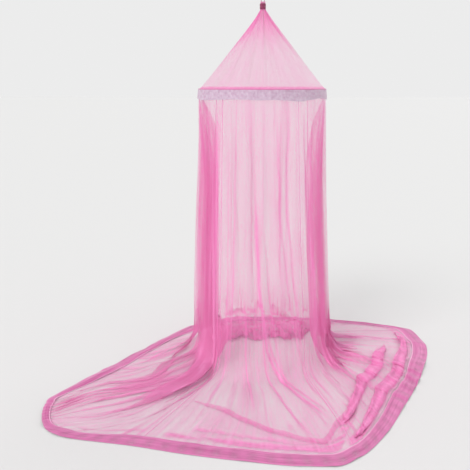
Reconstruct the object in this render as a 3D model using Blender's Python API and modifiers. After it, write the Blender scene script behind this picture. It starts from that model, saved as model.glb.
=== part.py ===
"""Round mosquito net canopy: a net cone gathered at one point, a hoop, and a long trailing net skirt.

The origin is where a hook bears on the hanging loop. +Z is up, -Y is the front and +X is to the right.
"""
import math
from collections import namedtuple

import bmesh
import bpy
import numpy as np

NAME = "mosquito_net_canopy"

# Driving sizes, in metres.
HOOP_RADIUS = 0.3225
HOOP_WIRE_RADIUS = 0.003
HOOP_HEIGHT = 1.45
CONE_HEIGHT = 0.392
TIE_HEIGHT = 0.028
EYE_HEIGHT = 0.040
FLOOR_Z = -(HOOP_HEIGHT + CONE_HEIGHT + TIE_HEIGHT + EYE_HEIGHT)
HOOP_Z = FLOOR_Z + HOOP_HEIGHT

NET_THICKNESS = 0.0012
BORDER_THICKNESS = 0.0016
BORDER_WIDTH = 0.085
SEWN_GAP = 0.0018
SEAM_GAP = 0.0005
LAYER_STEP = 0.005
REST_HEIGHT = 0.002
# The most that a sheet's points move out at a corner to keep its thickness, as a multiple of it.
CORNER_LIMIT = 1.5

# The skirt's flow lines, counter-clockwise seen from above, from the seam at the back left.
# hoop: direction in degrees at the hoop. folds and steps: folds up to the next line and columns per fold.
# foot, near, far, hem: where the line meets the floor, passes over it and ends, as X and Y.
# depth: how deep the folds are on the wall. pile: how wide they lie on the floor. lift: how high
# their layers have climbed. ripple: how high they stand on the floor near the foot.
Line = namedtuple("Line", "hoop folds steps foot near far hem depth pile lift ripple")
LINES = (
    Line(140, 1, 3, (-0.3, 0.255), (-0.336, 0.269), (-0.372, 0.283), (-0.43, 0.305), 0.0, 0.0, 0.0, 0.0),
    Line(152, 2, 2, (-0.366, 0.185), (-0.43, 0.11), (-0.52, 0.065), (-0.615, 0.025), 0.02, 0.0, 0.0, 0.022),
    Line(168, 1, 4, (-0.387, 0.09), (-0.46, -0.13), (-0.63, -0.29), (-0.835, -0.345), 0.03, 0.0, 0.0, 0.02),
    Line(183, 7, 4, (-0.362, 0.0), (-0.4, -0.4), (-0.63, -0.59), (-1.01, -0.66), 0.085, 0.1, 0.001, 0.03),
    Line(215, 1, 3, (-0.315, -0.205), (-0.395, -0.415), (-0.61, -0.6), (-0.97, -0.84), 0.085, 0.1, 0.07, 0.03),
    Line(223, 1, 3, (-0.245, -0.27), (-0.28, -0.46), (-0.5, -0.73), (-0.865, -0.94), 0.045, 0.0, 0.002, 0.01),
    Line(235, 1, 3, (-0.205, -0.305), (-0.278, -0.465), (-0.358, -0.638), (-0.525, -1.0), 0.0, 0.0, 0.0, 0.0),
    Line(246, 1, 2, (-0.135, -0.345), (-0.155, -0.56), (-0.195, -0.79), (-0.29, -1.05), 0.012, 0.0, 0.0, 0.008),
    Line(256, 1, 2, (-0.065, -0.365), (-0.04, -0.57), (-0.035, -0.79), (-0.06, -1.085), 0.014, 0.0, 0.0, 0.008),
    Line(269, 1, 2, (0.025, -0.37), (0.07, -0.56), (0.095, -0.79), (0.16, -1.108), 0.014, 0.0, 0.0, 0.008),
    Line(285, 1, 2, (0.13, -0.348), (0.18, -0.54), (0.225, -0.77), (0.305, -1.105), 0.012, 0.0, 0.0, 0.008),
    Line(302, 1, 3, (0.235, -0.298), (0.289, -0.5), (0.347, -0.717), (0.42, -1.035), 0.0, 0.0, 0.0, 0.0),
    Line(317, 1, 2, (0.315, -0.235), (0.385, -0.44), (0.46, -0.635), (0.555, -0.865), 0.035, 0.0, 0.0, 0.014),
    Line(329, 4, 4, (0.365, -0.165), (0.455, -0.33), (0.545, -0.48), (0.68, -0.64), 0.08, 0.0, 0.0, 0.03),
    Line(350, 1, 4, (0.4, -0.02), (0.56, -0.13), (0.7, -0.21), (0.85, -0.3), 0.08, 0.0, 0.0, 0.04),
    Line(374, 1, 3, (0.385, 0.12), (0.54, 0.12), (0.73, 0.11), (0.965, 0.06), 0.04, 0.0, 0.0, 0.03),
    Line(400, 1, 2, (0.315, 0.24), (0.461, 0.253), (0.656, 0.27), (0.94, 0.295), 0.0, 0.0, 0.0, 0.0),
    Line(412, 1, 2, (0.24, 0.3), (0.34, 0.35), (0.5, 0.38), (0.7, 0.39), 0.012, 0.0, 0.0, 0.01),
    Line(426, 1, 2, (0.17, 0.34), (0.23, 0.39), (0.32, 0.42), (0.44, 0.45), 0.014, 0.0, 0.0, 0.008),
    Line(442, 1, 2, (0.07, 0.37), (0.09, 0.41), (0.12, 0.44), (0.17, 0.48), 0.014, 0.0, 0.0, 0.006),
    Line(458, 1, 2, (-0.04, 0.37), (-0.045, 0.41), (-0.055, 0.44), (-0.07, 0.47), 0.014, 0.0, 0.0, 0.006),
    Line(474, 1, 2, (-0.14, 0.35), (-0.155, 0.38), (-0.18, 0.41), (-0.21, 0.44), 0.014, 0.0, 0.0, 0.006),
    Line(489, 1, 2, (-0.23, 0.305), (-0.255, 0.33), (-0.285, 0.35), (-0.33, 0.375), 0.012, 0.0, 0.0, 0.005),
)

# Tucks, where the skirt doubles back along its own flow: middle of the tuck, measured in from the
# hem, and its width, at the lines where it has any (numbered as in LINES).
Tuck = namedtuple("Tuck", "line inset width")
INNER_TUCK = (
    Tuck(6, 0.42, 0.0), Tuck(7, 0.37, 0.034), Tuck(8, 0.28, 0.038), Tuck(9, 0.22, 0.036),
    Tuck(10, 0.17, 0.034), Tuck(11, 0.26, 0.055), Tuck(12, 0.27, 0.070), Tuck(13, 0.26, 0.076),
    Tuck(14, 0.25, 0.074), Tuck(15, 0.24, 0.0),
)
OUTER_TUCK = (
    Tuck(11, 0.125, 0.0), Tuck(12, 0.135, 0.066), Tuck(13, 0.135, 0.078), Tuck(14, 0.135, 0.074),
    Tuck(15, 0.135, 0.036), Tuck(16, 0.13, 0.0),
)
# The heap behind: how far the cloth is pushed in across the floor before it runs out again.
BACK_HEAP = (
    Tuck(16, 0.0, 0.0), Tuck(17, 0.0, 0.10), Tuck(18, 0.0, 0.23), Tuck(19, 0.0, 0.26),
    Tuck(20, 0.0, 0.27), Tuck(21, 0.0, 0.24), Tuck(22, 0.0, 0.13), Tuck(0, 0.0, 0.0),
)

# Gores: the first and last flow line of each.
GORES = {"wall_left": (0, 6), "wall_front": (6, 11), "wall_right": (11, 16), "wall_back": (16, 23)}

COLOURS = {
    "net": (0.76, 0.20, 0.46),
    "border": (0.62, 0.11, 0.33),
    "lace": (0.72, 0.52, 0.66),
    "wire": (0.80, 0.42, 0.58),
    "tape": (0.36, 0.04, 0.13),
}


# ---- helpers for the tables

def smooth(t):
    """Ease from 0 to 1."""
    t = np.clip(t, 0.0, 1.0)
    return t * t * (3.0 - 2.0 * t)


def along(values, u):
    """Read a closed table of values at u rows, without overshoot between the rows."""
    values = np.asarray(values, dtype=float)
    count = len(values)
    i = int(math.floor(u)) % count
    t = u - math.floor(u)
    v0, v1, v2, v3 = (values[(i + k) % count] for k in (-1, 0, 1, 2))
    d0, d1, d2 = v1 - v0, v2 - v1, v3 - v2
    s1 = np.where(d0 * d1 > 0, 2 * d0 * d1 / np.where(d0 + d1 == 0, 1, d0 + d1), 0.0)
    s2 = np.where(d1 * d2 > 0, 2 * d1 * d2 / np.where(d1 + d2 == 0, 1, d1 + d2), 0.0)
    a, b = 2 * t ** 3 - 3 * t ** 2 + 1, t ** 3 - 2 * t ** 2 + t
    c, d = -2 * t ** 3 + 3 * t ** 2, t ** 3 - t ** 2
    return a * v1 + b * s1 + c * v2 + d * s2


def column(name):
    return [getattr(line, name) for line in LINES]


def tuck_values(tuck):
    """A tuck's inset and width at every line, zero wide where it isn't."""
    inset = {row.line: row.inset for row in tuck}
    width = {row.line: row.width for row in tuck}
    first = tuck[0].inset
    return [(inset.get(i, first), width.get(i, 0.0)) for i in range(len(LINES))]


FOOT, NEAR, FAR, HEM = (column(name) for name in ("foot", "near", "far", "hem"))
DEPTH, PILE, LIFT, RIPPLE = (column(name) for name in ("depth", "pile", "lift", "ripple"))
INNER, OUTER, HEAP = (tuck_values(tuck) for tuck in (INNER_TUCK, OUTER_TUCK, BACK_HEAP))


def hoop_angle(u):
    """Direction at the hoop, in radians. The table turns through a full circle once."""
    i = int(math.floor(u)) % len(LINES)
    here = LINES[i].hoop
    after = LINES[(i + 1) % len(LINES)].hoop + (360 if i + 1 == len(LINES) else 0)
    return math.radians(here + (after - here) * (u - math.floor(u)))


def columns_between(first, last):
    """The places round the skirt, in table rows, at which a piece has a column of points."""
    places = []
    for i in range(first, last):
        line = LINES[i % len(LINES)]
        count = line.folds * line.steps
        places += [i + k / count for k in range(count)]
    return places + [float(last)]


# ---- the skirt

def wave(u):
    """Where a column lies in its fold: 1 on an outer crest, -1 in an inner trough.

    In deep folds, of four columns each, crests and troughs are as wide as the sides between them.
    """
    line = LINES[int(math.floor(u)) % len(LINES)]
    phase = (u - math.floor(u)) * line.folds
    if line.steps < 4:
        return math.cos(2 * math.pi * phase)
    place = (phase + 1e-6) % 1.0
    return float(np.interp(place, (0.0, 0.25, 0.5, 0.75, 1.0), (1.0, -1.0, -1.0, 1.0, 1.0)))


def climbed(u):
    """How high the folds' layers have climbed: only where one layer turns over into the next."""
    i = int(math.floor(u)) % len(LINES)
    phase = (u - math.floor(u)) * LINES[i].folds
    if LINES[i].steps == 4:
        place = (phase + 1e-6) % 1.0
        turned = np.interp(place, (0.0, 0.25, 0.5, 0.75, 1.0), (0.0, 0.0, 0.5, 0.5, 1.0))
        phase = math.floor(phase + 1e-6) + float(turned)
    share = phase / LINES[i].folds
    return LIFT[i] * (1.0 - share) + LIFT[(i + 1) % len(LINES)] * share


def unevenness(u):
    """Folds differ in depth from one to the next."""
    return 1.0 + 0.16 * math.sin(9.7 * u) + 0.10 * math.sin(23.0 * u + 1.0)


class Route:
    """A column's way across the floor, as seen from above, measured from its foot."""

    SAMPLES = 24

    def __init__(self, points):
        points = [np.asarray(p, dtype=float) for p in points]
        ends = [2 * points[0] - points[1]] + points + [2 * points[-1] - points[-2]]
        track = []
        for a, b, c, d in zip(ends, ends[1:], ends[2:], ends[3:]):
            for k in range(self.SAMPLES):
                t = k / self.SAMPLES
                track.append(0.5 * (2 * b + (c - a) * t + (2 * a - 5 * b + 4 * c - d) * t ** 2
                                    + (3 * b - a - 3 * c + d) * t ** 3))
        track.append(points[-1])
        self.track = np.array(track)
        steps = np.linalg.norm(np.diff(self.track, axis=0), axis=1)
        self.at = np.concatenate([[0.0], np.cumsum(steps)])
        self.length = self.at[-1]

    def point(self, distance):
        return np.array([np.interp(distance, self.at, self.track[:, k]) for k in (0, 1)])

    def left(self, distance):
        """Unit vector to the left of the way."""
        step = self.point(min(distance + 0.01, self.length)) - self.point(max(distance - 0.01, 0.0))
        step /= max(np.linalg.norm(step), 1e-9)
        return np.array([-step[1], step[0]])


WALL_HEIGHTS = (1.4425, 1.22, 0.92, 0.60, 0.34)
BEND_HEIGHT = 0.16
BEND_LENGTH = 0.10
BEND_STEPS = (0.5, 1.0)
# The heap's layers: share of the way in, and height.
HEAP_ROWS = (
    (0.06, 0.085), (0.22, 0.050), (0.42, 0.066), (0.62, 0.040),
    (0.84, 0.046), (0.98, 0.024), (1.0, 0.010), (0.9, 0.002),
)
FULL_DEPTH_DROP = 0.45
# How early a wall moves out from the hoop to its foot: at 1 it is straight, and above 1 it bulges.
EARLY_SPREAD = 0.6
LEFT_SPREAD = 0.9
FIRST_RADIUS = HOOP_RADIUS + HOOP_WIRE_RADIUS + 0.001


def wall_point(u, height, foot_height):
    """A point on the hanging wall: folds start small at the hoop and deepen downwards."""
    foot = along(FOOT, u)
    angle = hoop_angle(u)
    start = FIRST_RADIUS * np.array([math.cos(angle), math.sin(angle)])
    drop = (HOOP_HEIGHT - height) / (HOOP_HEIGHT - foot_height)
    early = EARLY_SPREAD + LEFT_SPREAD * max(0.0, -math.cos(angle))
    place = start + (foot - start) * (early * drop + (1.0 - early) * drop * drop)
    grown = min(1.0, (HOOP_HEIGHT - height) / FULL_DEPTH_DROP)
    depth = float(along(DEPTH, u)) * unevenness(u) * (0.02 + 0.98 * smooth(grown))
    inward = -place / np.linalg.norm(place)
    place = place + inward * depth * (1.0 - wave(u)) / 2
    return np.array([place[0], place[1], height])


def floor_point(u, route, distance, layer=0.0):
    """A point of the cloth on the floor. layer counts the tuck's layers under it."""
    crest = (1.0 + wave(u)) / 2
    share = np.clip(distance / route.length, 0.0, 1.0)
    spread = smooth((share - 0.50) / 0.38)
    pile = float(along(PILE, u)) * (1.0 - spread)
    plan = route.point(distance) + route.left(distance) * pile * (1.0 - crest)
    ripple = float(along(RIPPLE, u)) * unevenness(u) * (1.0 - 0.75 * smooth(share * 1.4))
    stacked = min(1.0, pile / 0.05)
    lift = climbed(u) * (1.0 - spread)
    height = REST_HEIGHT + lift + ripple * crest * (1.0 - 0.9 * stacked) + layer * LAYER_STEP
    return np.array([plan[0], plan[1], height])


# Rows of a tuck: distance past its middle, which edge it reaches (1 outer, -1 inner), and the
# layers under it.
TUCK_PROFILE = (
    (-0.012, -1, 0.0), (-0.006, 1, 0.0), (-0.002, 1, 0.6),
    (0.002, -1, 1.2), (0.006, -1, 1.8), (0.012, 1, 2.2),
)


def tuck_rows(u, route, inset, width):
    """Over, back and over again: the rows of a tuck. Where it has no width they run straight on."""
    middle = route.length - inset
    raised = min(1.0, width / 0.03)
    return [
        floor_point(u, route, middle + past + edge * width / 2, layer * raised)
        for past, edge, layer in TUCK_PROFILE
    ]


def floor_route(u):
    return Route([along(FOOT, u), along(NEAR, u), along(FAR, u), along(HEM, u)])


def skirt_column(u, inner, outer, heap):
    """The points of one column of a gore, from the hoop to the border."""
    route = floor_route(u)
    border = route.length - BORDER_WIDTH
    bend_end = min(BEND_LENGTH, 0.4 * border)
    base = wall_point(u, BEND_HEIGHT, BEND_HEIGHT)
    points = [wall_point(u, height, BEND_HEIGHT) for height in WALL_HEIGHTS] + [base]
    points += (heap_rows if heap else bend_rows)(u, route, base, bend_end)
    reached = bend_end
    if inner:
        inset, width = along(INNER, u)
        first = route.length - inset - width / 2 - 0.02
        points += [floor_point(u, route, bend_end + (first - bend_end) * t) for t in (0.34, 0.67)]
        points += tuck_rows(u, route, inset, width)
        reached = route.length - inset + width / 2 + 0.012
    if outer:
        inset, width = along(OUTER, u)
        points += tuck_rows(u, route, inset, width)
    if inner and not outer:
        points.append(floor_point(u, route, (reached + border) / 2))
    if not inner and not heap:
        points += [floor_point(u, route, bend_end + (border - bend_end) * t) for t in (0.25, 0.5, 0.75)]
    points.append(floor_point(u, route, border))
    return points


def bend_rows(u, route, base, bend_end):
    """From hanging to lying: the folds turn from inward to upward round the bend."""
    rows = []
    hanging = base[:2] - along(FOOT, u)
    for t in BEND_STEPS:
        lying = floor_point(u, route, bend_end * t * t)
        plan = lying[:2] + hanging * (1.0 - t) ** 1.5
        rows.append(np.array([plan[0], plan[1], lying[2] + (BEND_HEIGHT - REST_HEIGHT) * (1.0 - t) ** 2]))
    return rows


def heap_rows(u, route, base, bend_end):
    """The heap behind: in across the floor in a crumpled layer, under, and out again."""
    push = along(HEAP, u)[1]
    foot = along(FOOT, u)
    share = min(1.0, push / 0.1)
    turned = smooth((push - 0.05) / 0.12)
    inward = foot / np.linalg.norm(foot) * (1.0 - turned) + np.array([0.0, 1.0]) * turned
    fold = foot - inward * push
    plain = [base] + bend_rows(u, route, base, bend_end)
    rows = []
    for k, (t, height) in enumerate(HEAP_ROWS):
        plan = base[:2] * (1.0 - t) + fold * t
        sway = 0.010 * math.sin(14.0 * u + 9.0 * t) * (1.0 - t)
        heaped = np.array([plan[0], plan[1], height + sway])
        at = len(BEND_STEPS) * (k + 1) / (len(HEAP_ROWS) + 1)
        i = int(at)
        straight = plain[i] + (plain[i + 1] - plain[i]) * (at - i)
        rows.append(heaped * share + straight * (1.0 - share))
    rows.append(floor_point(u, route, bend_end))
    return rows


def border_column(u):
    """The points of one column of the border strip, from its sewn edge to the hem."""
    route = floor_route(u)
    start = route.length - BORDER_WIDTH + SEWN_GAP
    return [floor_point(u, route, d) for d in (start, route.length - BORDER_WIDTH / 2, route.length)]


# ---- building

def clear_scene():
    for obj in list(bpy.data.objects):
        bpy.data.objects.remove(obj, do_unlink=True)


def collection():
    found = bpy.data.collections.new(NAME)
    bpy.context.scene.collection.children.link(found)
    return found


def material(name):
    found = bpy.data.materials.new(name)
    found.use_nodes = True
    shader = found.node_tree.nodes["Principled BSDF"]
    shader.inputs["Base Color"].default_value = (*COLOURS[name], 1.0)
    shader.inputs["Roughness"].default_value = 0.75
    return found


def place(name, mesh, slot):
    mesh.materials.append(slot)
    obj = bpy.data.objects.new(name, mesh)
    PARTS.objects.link(obj)
    return obj


def loft(columns, closed):
    """A mesh of quads through columns of points."""
    build = bmesh.new()
    grid = [[build.verts.new((p[0], p[1], p[2] + FLOOR_Z)) for p in points] for points in columns]
    pairs = list(zip(grid, grid[1:]))
    if closed:
        pairs.append((grid[-1], grid[0]))
    for here, after in pairs:
        for k in range(len(here) - 1):
            build.faces.new((here[k], here[k + 1], after[k + 1], after[k]))
    mesh = bpy.data.meshes.new("sheet")
    build.to_mesh(mesh)
    build.free()
    return mesh


def thicken(obj, thickness):
    """Give a sheet its thickness, kept up at the folds' corners by a weight for each point."""
    build = bmesh.new()
    build.from_mesh(obj.data)
    build.normal_update()
    factors = [min(abs(vert.calc_shell_factor()), CORNER_LIMIT) for vert in build.verts]
    build.free()
    corners = obj.vertex_groups.new(name="corners")
    for k, factor in enumerate(factors):
        corners.add([k], factor / CORNER_LIMIT, "REPLACE")
    shell = obj.modifiers.new("thickness", "SOLIDIFY")
    shell.thickness = thickness * CORNER_LIMIT
    shell.offset = 0.0
    shell.vertex_group = corners.name


def draw_back(columns, gap):
    """Move a gore's two side edges back from its seams, along the cloth."""
    for edge, inner in ((0, 1), (-1, -2)):
        for k, point in enumerate(columns[edge]):
            step = columns[inner][k] - point
            columns[edge][k] = point + step * gap / max(np.linalg.norm(step), 1e-6)
    return columns


def make_gore(name, first, last):
    inner = name in ("wall_front", "wall_right")
    outer = name == "wall_right"
    heap = name == "wall_back"
    columns = [skirt_column(u, inner, outer, heap) for u in columns_between(first, last)]
    obj = place(name, loft(draw_back(columns, SEAM_GAP), closed=False), NET)
    thicken(obj, NET_THICKNESS)


def make_border():
    places = columns_between(0, len(LINES))[:-1]
    columns = [border_column(u) for u in places]
    obj = place("hem_border", loft(columns, closed=True), BORDER)
    thicken(obj, BORDER_THICKNESS)


CROWN_GATHERS = 16
CROWN_STEPS = 2
# Crown profile above the hoop's middle: height, radius, and how deep the gathers are.
Ring = namedtuple("Ring", "height radius gather")
CROWN_RINGS = (
    Ring(CONE_HEIGHT + 0.036, 0.0125, 0.0040),
    Ring(CONE_HEIGHT + 0.029, 0.0096, 0.0018),
    Ring(CONE_HEIGHT - 0.001, 0.0096, 0.0018),
    Ring(CONE_HEIGHT - 0.008, 0.0160, 0.0045),
    Ring(0.351, 0.0345, 0.0075),
    Ring(0.290, 0.0840, 0.0080),
    Ring(0.200, 0.1600, 0.0050),
    Ring(0.100, 0.2420, 0.0020),
    Ring(0.0085, HOOP_RADIUS - 0.0046, 0.0),
    Ring(0.0058, HOOP_RADIUS + 0.0014, 0.0),
    Ring(0.0022, HOOP_RADIUS + 0.0056, 0.0),
    Ring(-0.0026, HOOP_RADIUS + 0.0056, 0.0),
    Ring(-0.0056, HOOP_RADIUS + 0.0010, 0.0),
    Ring(-0.0040, HOOP_RADIUS - 0.0045, 0.0),
    Ring(0.0008, HOOP_RADIUS - 0.0060, 0.0),
)


def make_crown():
    count = CROWN_GATHERS * CROWN_STEPS
    columns = []
    for i in range(count):
        angle = 2 * math.pi * i / count
        crest = math.cos(CROWN_GATHERS * angle)
        points = []
        for ring in CROWN_RINGS:
            radius = ring.radius + ring.gather * crest / 2
            points.append((radius * math.cos(angle), radius * math.sin(angle), HOOP_HEIGHT + ring.height))
        columns.append(points)
    thicken(place("crown", loft(columns, closed=True), NET), NET_THICKNESS)


FRILL_WAVES = 20
FRILL_STEPS = 2
FRILL_DEPTH = 0.052
FRILL_RADIUS = HOOP_RADIUS + 0.0082


def make_valance():
    count = FRILL_WAVES * FRILL_STEPS
    columns = []
    for i in range(count):
        angle = 2 * math.pi * i / count
        sway = math.sin(FRILL_WAVES * angle)
        points = []
        for t in (0.0, 0.45, 1.0):
            radius = FRILL_RADIUS + 0.004 * t + 0.0022 * sway * t
            drop = FRILL_DEPTH * t + 0.0025 * t * math.sin(5 * angle + 0.6) + 0.0015 * t * sway
            points.append((radius * math.cos(angle), radius * math.sin(angle), HOOP_HEIGHT + 0.004 - drop))
        columns.append(points)
    thicken(place("valance", loft(columns, closed=True), LACE), NET_THICKNESS)


def make_hoop():
    bpy.ops.mesh.primitive_torus_add(
        major_segments=32, minor_segments=6, major_radius=HOOP_RADIUS, minor_radius=HOOP_WIRE_RADIUS,
        location=(0.0, 0.0, HOOP_Z))
    obj = bpy.context.object
    obj.name = "hoop"
    obj.data.materials.append(WIRE)
    obj.data.shade_smooth()
    for owner in list(obj.users_collection):
        owner.objects.unlink(obj)
    PARTS.objects.link(obj)


TIE_INNER = 0.0124
TIE_OUTER = 0.0160
TIE_TURNS = 4


def make_tie():
    """A binding of several turns of tape, as one turned ring with a ridge for each turn."""
    top = HOOP_HEIGHT + CONE_HEIGHT + TIE_HEIGHT
    pitch = TIE_HEIGHT / TIE_TURNS
    profile = [(TIE_INNER, top)]
    for k in range(TIE_TURNS):
        profile.append((TIE_OUTER - 0.0012, top - pitch * (k + 0.08)))
        profile.append((TIE_OUTER, top - pitch * (k + 0.5)))
        profile.append((TIE_OUTER - 0.0012, top - pitch * (k + 0.92)))
    profile.append((TIE_INNER, top - TIE_HEIGHT))
    mesh = bpy.data.meshes.new("binding")
    points = [(radius, 0.0, height + FLOOR_Z) for radius, height in profile]
    edges = [(k, (k + 1) % len(points)) for k in range(len(points))]
    mesh.from_pydata(points, edges, [])
    obj = place("crown_tie", mesh, TAPE)
    turn = obj.modifiers.new("turn", "SCREW")
    turn.steps = turn.render_steps = 12
    turn.use_merge_vertices = True
    turn.merge_threshold = 0.0001
    obj.data.shade_smooth()


LOOP_WIDTH = 0.008
LOOP_THICKNESS = 0.0016
LOOP_HALF_GAP = 0.0028
LOOP_EYE_HALF = 0.011


def make_loop():
    """Narrow tape: both legs come out of the binding and open into an eye round the origin."""
    root = -(EYE_HEIGHT + TIE_HEIGHT - 0.004)
    neck = -EYE_HEIGHT - 0.001
    legs = [(LOOP_HALF_GAP, root), (LOOP_HALF_GAP, neck), (LOOP_HALF_GAP + 0.002, neck + 0.008)]
    widest = (LOOP_EYE_HALF, -EYE_HEIGHT * 0.42)
    side = legs + [(LOOP_EYE_HALF - 0.002, -EYE_HEIGHT * 0.62), widest]
    radius = LOOP_EYE_HALF
    for k in range(1, 6):
        angle = math.pi / 2 * k / 6
        side.append((radius * math.cos(angle), widest[1] * (1.0 - math.sin(angle)) + LOOP_THICKNESS / 2))
    outline = [(-x, z) for x, z in side] + [(0.0, LOOP_THICKNESS / 2)] + [(x, z) for x, z in reversed(side)]
    columns = [[(x, y, z - FLOOR_Z) for x, z in outline] for y in (-LOOP_WIDTH / 2, LOOP_WIDTH / 2)]
    thicken(place("hanging_loop", loft(columns, closed=False), TAPE), LOOP_THICKNESS)


clear_scene()
PARTS = collection()
NET, BORDER, LACE, WIRE, TAPE = (material(name) for name in ("net", "border", "lace", "wire", "tape"))
make_loop()
make_tie()
make_crown()
make_hoop()
make_valance()
for gore_name, (first_line, last_line) in GORES.items():
    make_gore(gore_name, first_line, last_line)
make_border()
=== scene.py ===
"""The looks of the round mosquito net canopy: fine cloth surfaces, materials, floor, light and camera."""
import math
from collections import namedtuple

import bpy
import numpy as np
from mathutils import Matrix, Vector


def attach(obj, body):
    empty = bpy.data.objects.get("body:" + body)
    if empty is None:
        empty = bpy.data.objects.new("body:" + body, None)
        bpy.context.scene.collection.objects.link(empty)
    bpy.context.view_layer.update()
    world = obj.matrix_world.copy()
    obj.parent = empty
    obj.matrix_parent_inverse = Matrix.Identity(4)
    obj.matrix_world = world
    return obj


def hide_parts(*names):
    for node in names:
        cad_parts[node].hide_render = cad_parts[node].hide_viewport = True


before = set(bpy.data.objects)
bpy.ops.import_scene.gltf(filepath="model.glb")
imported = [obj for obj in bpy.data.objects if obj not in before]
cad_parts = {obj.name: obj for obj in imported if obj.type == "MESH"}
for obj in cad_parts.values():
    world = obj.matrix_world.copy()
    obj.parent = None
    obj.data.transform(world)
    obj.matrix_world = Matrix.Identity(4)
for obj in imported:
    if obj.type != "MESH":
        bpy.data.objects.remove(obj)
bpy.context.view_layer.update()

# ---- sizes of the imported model, in metres
HOOP_RADIUS = 0.3225
HOOP_WIRE_RADIUS = 0.003
HOOP_HEIGHT = 1.45
CONE_HEIGHT = 0.392
TIE_HEIGHT = 0.028
EYE_HEIGHT = 0.040
FLOOR_Z = -(HOOP_HEIGHT + CONE_HEIGHT + TIE_HEIGHT + EYE_HEIGHT)
BORDER_WIDTH = 0.085
DRAWN_IN = 0.045
SEWN_GAP = 0.0018
LAYER_STEP = 0.005
REST_HEIGHT = 0.002
FIRST_RADIUS = HOOP_RADIUS + HOOP_WIRE_RADIUS + 0.001
WALL_TOP = 1.4445
BEND_HEIGHT = 0.16
BEND_LENGTH = 0.10
FULL_DEPTH_DROP = 0.45
EARLY_SPREAD = 0.6
LEFT_SPREAD = 0.9

# The skirt's flow lines, counter-clockwise seen from above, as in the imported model.
Line = namedtuple("Line", "hoop folds deep foot near far hem depth pile lift ripple")
LINES = (
    Line(140, 1, 0, (-0.3, 0.255), (-0.336, 0.269), (-0.372, 0.283), (-0.43, 0.305), 0.0, 0.0, 0.0, 0.0),
    Line(152, 2, 0, (-0.366, 0.185), (-0.43, 0.11), (-0.52, 0.065), (-0.615, 0.025), 0.02, 0.0, 0.0, 0.022),
    Line(168, 1, 1, (-0.387, 0.09), (-0.46, -0.13), (-0.63, -0.29), (-0.835, -0.345), 0.03, 0.0, 0.0, 0.02),
    Line(183, 7, 1, (-0.362, 0.0), (-0.4, -0.4), (-0.63, -0.59), (-1.01, -0.66), 0.085, 0.1, 0.001, 0.03),
    Line(215, 1, 0, (-0.315, -0.205), (-0.395, -0.415), (-0.61, -0.6),
         (-0.97, -0.84), 0.085, 0.1, 0.07, 0.03),
    Line(223, 1, 0, (-0.245, -0.27), (-0.28, -0.46), (-0.5, -0.73), (-0.865, -0.94), 0.045, 0.0, 0.002, 0.01),
    Line(235, 1, 0, (-0.205, -0.305), (-0.278, -0.465), (-0.358, -0.638), (-0.525, -1.0), 0.0, 0.0, 0.0, 0.0),
    Line(246, 1, 0, (-0.135, -0.345), (-0.155, -0.56), (-0.195, -0.79),
         (-0.29, -1.05), 0.012, 0.0, 0.0, 0.008),
    Line(256, 1, 0, (-0.065, -0.365), (-0.04, -0.57), (-0.035, -0.79),
         (-0.06, -1.085), 0.014, 0.0, 0.0, 0.008),
    Line(269, 1, 0, (0.025, -0.37), (0.07, -0.56), (0.095, -0.79), (0.16, -1.108), 0.014, 0.0, 0.0, 0.008),
    Line(285, 1, 0, (0.13, -0.348), (0.18, -0.54), (0.225, -0.77), (0.305, -1.105), 0.012, 0.0, 0.0, 0.008),
    Line(302, 1, 0, (0.235, -0.298), (0.289, -0.5), (0.347, -0.717), (0.42, -1.035), 0.0, 0.0, 0.0, 0.0),
    Line(317, 1, 0, (0.315, -0.235), (0.385, -0.44), (0.46, -0.635), (0.555, -0.865), 0.035, 0.0, 0.0, 0.014),
    Line(329, 4, 1, (0.365, -0.165), (0.455, -0.33), (0.545, -0.48), (0.68, -0.64), 0.08, 0.0, 0.0, 0.03),
    Line(350, 1, 1, (0.4, -0.02), (0.56, -0.13), (0.7, -0.21), (0.85, -0.3), 0.08, 0.0, 0.0, 0.04),
    Line(374, 1, 0, (0.385, 0.12), (0.54, 0.12), (0.73, 0.11), (0.965, 0.06), 0.04, 0.0, 0.0, 0.03),
    Line(400, 1, 0, (0.315, 0.24), (0.461, 0.253), (0.656, 0.27), (0.94, 0.295), 0.0, 0.0, 0.0, 0.0),
    Line(412, 1, 0, (0.24, 0.3), (0.34, 0.35), (0.5, 0.38), (0.7, 0.39), 0.012, 0.0, 0.0, 0.01),
    Line(426, 1, 0, (0.17, 0.34), (0.23, 0.39), (0.32, 0.42), (0.44, 0.45), 0.014, 0.0, 0.0, 0.008),
    Line(442, 1, 0, (0.07, 0.37), (0.09, 0.41), (0.12, 0.44), (0.17, 0.48), 0.014, 0.0, 0.0, 0.006),
    Line(458, 1, 0, (-0.04, 0.37), (-0.045, 0.41), (-0.055, 0.44), (-0.07, 0.47), 0.014, 0.0, 0.0, 0.006),
    Line(474, 1, 0, (-0.14, 0.35), (-0.155, 0.38), (-0.18, 0.41), (-0.21, 0.44), 0.014, 0.0, 0.0, 0.006),
    Line(489, 1, 0, (-0.23, 0.305), (-0.255, 0.33), (-0.285, 0.35), (-0.33, 0.375), 0.012, 0.0, 0.0, 0.005),
)
Tuck = namedtuple("Tuck", "line inset width")
INNER_TUCK = (
    Tuck(6, 0.42, 0.0), Tuck(7, 0.37, 0.034), Tuck(8, 0.28, 0.038), Tuck(9, 0.22, 0.036),
    Tuck(10, 0.17, 0.034), Tuck(11, 0.26, 0.055), Tuck(12, 0.27, 0.070), Tuck(13, 0.26, 0.076),
    Tuck(14, 0.25, 0.074), Tuck(15, 0.24, 0.0),
)
OUTER_TUCK = (
    Tuck(11, 0.125, 0.0), Tuck(12, 0.135, 0.066), Tuck(13, 0.135, 0.078), Tuck(14, 0.135, 0.074),
    Tuck(15, 0.135, 0.036), Tuck(16, 0.13, 0.0),
)
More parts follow.
